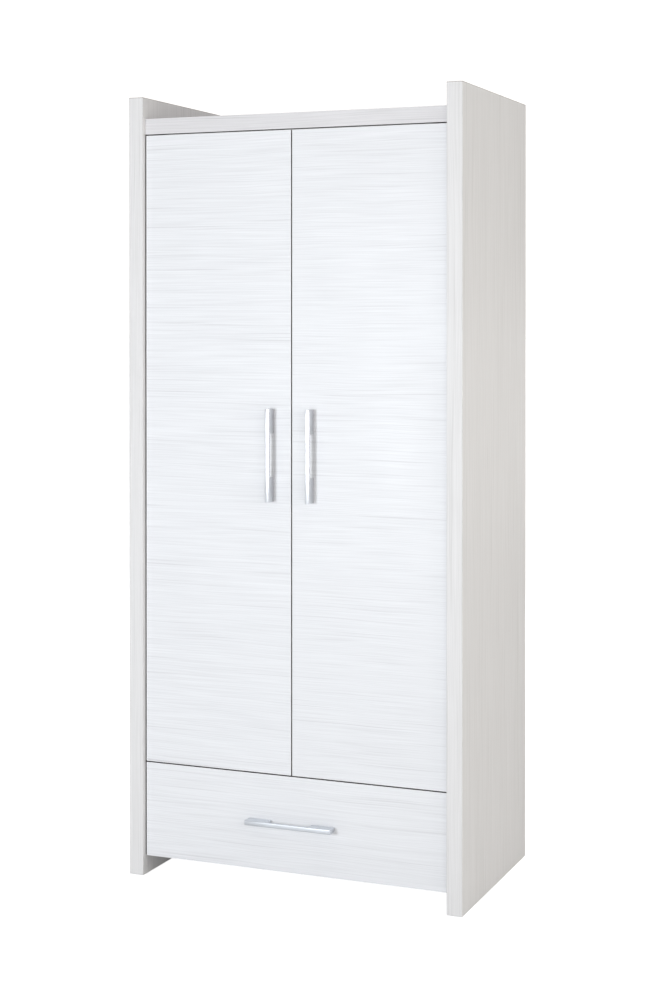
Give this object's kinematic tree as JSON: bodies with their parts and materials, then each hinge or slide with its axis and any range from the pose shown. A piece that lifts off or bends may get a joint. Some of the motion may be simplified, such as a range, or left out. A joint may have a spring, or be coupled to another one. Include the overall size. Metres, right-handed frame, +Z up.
{
  "type": "wardrobe with doors",
  "caption": "Tall free-standing wardrobe: thick side panels, a recessed top, paired doors with upright bar handles, and a full-width drawer below.",
  "frame": {"origin": "on the floor, at the middle of the bounding box's base", "axes": "+Z up, front faces -Y, +X to the right seen from the front"},
  "size_m": [0.855, 0.526, 1.9],
  "materials": {
    "side_board": "white laminate with fine upright grey grain lines, soft sheen",
    "front_board": "white laminate with fine level grey grain lines, glossy",
    "inner_board": "white melamine faced board, fine texture",
    "thin_board": "thin white lacquered fibreboard",
    "satin_metal": "satin anodised, finely brushed along its length",
    "chrome": "bright plated oval tube",
    "nickel_steel": "nickel plated pressed steel",
    "zinc_steel": "zinc plated",
    "cast_zinc": "die-cast zinc, matt",
    "coated_steel": "white powder coated sheet",
    "white_plastic": "moulded",
    "dark_plastic": "moulded",
    "clear_rubber": "translucent soft pad",
    "beech": "fluted beech"
  },
  "bodies": {
    "carcass": {"back_joiner": "white_plastic", "back_nails": "zinc_steel", "back_panel_left": "thin_board", "back_panel_right": "thin_board", "base_panel": "inner_board", "bumpers": "clear_rubber", "cabinet_rail_left": "coated_steel", "cabinet_rail_right": "coated_steel", "cabinet_roller_pins": "nickel_steel", "cam_bolts": "zinc_steel", "cam_locks": "cast_zinc", "clothes_rail": "chrome", "dowels": "beech", "floor_panel": "inner_board", "glides": "dark_plastic", "hat_shelf": "inner_board", "hinge_arm_screws": "zinc_steel", "hinge_arms": "nickel_steel", "hinge_plate_screws": "zinc_steel", "hinge_plates": "nickel_steel", "panel_screws": "zinc_steel", "rail_brackets": "nickel_steel", "shelf_pins": "nickel_steel", "side_panel_left": "side_board", "side_panel_right": "side_board", "stop_rail": "inner_board", "top_panel": "front_board", "wall_bracket": "zinc_steel"},
    "left_door": {"left_cup_screws": "zinc_steel", "left_door_panel": "front_board", "left_handle": "satin_metal", "left_handle_screws": "zinc_steel", "left_hinge_cups": "nickel_steel", "left_hinge_pins": "nickel_steel"},
    "right_door": {"right_cup_screws": "zinc_steel", "right_door_panel": "front_board", "right_handle": "satin_metal", "right_handle_screws": "zinc_steel", "right_hinge_cups": "nickel_steel", "right_hinge_pins": "nickel_steel"},
    "drawer": {"drawer_back": "inner_board", "drawer_bottom": "thin_board", "drawer_cam_bolts": "zinc_steel", "drawer_cam_locks": "cast_zinc", "drawer_corner_screws": "zinc_steel", "drawer_front": "front_board", "drawer_handle": "satin_metal", "drawer_handle_screws": "zinc_steel", "drawer_rail_left": "coated_steel", "drawer_rail_right": "coated_steel", "drawer_rail_screws": "zinc_steel", "drawer_roller_pins": "nickel_steel", "drawer_side_left": "inner_board", "drawer_side_right": "inner_board"},
    "front_roller_left": {"cabinet_roller_left": "white_plastic"},
    "front_roller_right": {"cabinet_roller_right": "white_plastic"},
    "rear_roller_left": {"drawer_roller_left": "white_plastic"},
    "rear_roller_right": {"drawer_roller_right": "white_plastic"}
  },
  "joints": [
    {"name": "left_door_swing", "type": "hinge", "parent": "carcass", "child": "left_door", "pos_m": [-0.3615, -0.226, 1.044], "axis": [0, 0, -1], "range_deg": [0, 100]},
    {"name": "right_door_swing", "type": "hinge", "parent": "carcass", "child": "right_door", "pos_m": [0.3615, -0.226, 1.044], "axis": [0, 0, 1], "range_deg": [0, 100]},
    {"name": "drawer_slide", "type": "slide", "parent": "carcass", "child": "drawer", "axis": [0, -1, 0], "range_m": [0, 0.34]},
    {"name": "front_roller_left_spin", "type": "hinge", "parent": "carcass", "child": "front_roller_left", "pos_m": [-0.3822, -0.203, 0.086], "axis": [1, 0, 0], "continuous": true},
    {"name": "rear_roller_left_spin", "type": "hinge", "parent": "drawer", "child": "rear_roller_left", "pos_m": [-0.3822, 0.222, 0.0822], "axis": [1, 0, 0], "continuous": true},
    {"name": "front_roller_right_spin", "type": "hinge", "parent": "carcass", "child": "front_roller_right", "pos_m": [0.3822, -0.203, 0.086], "axis": [1, 0, 0], "continuous": true},
    {"name": "rear_roller_right_spin", "type": "hinge", "parent": "drawer", "child": "rear_roller_right", "pos_m": [0.3822, 0.222, 0.0822], "axis": [1, 0, 0], "continuous": true}
  ],
  "couplings": [
    {"joint": "front_roller_left_spin", "follows": "drawer_slide", "rad_per_m": 93.458},
    {"joint": "rear_roller_left_spin", "follows": "drawer_slide", "rad_per_m": 93.458},
    {"joint": "front_roller_right_spin", "follows": "drawer_slide", "rad_per_m": 93.458},
    {"joint": "rear_roller_right_spin", "follows": "drawer_slide", "rad_per_m": 93.458}
  ]
}
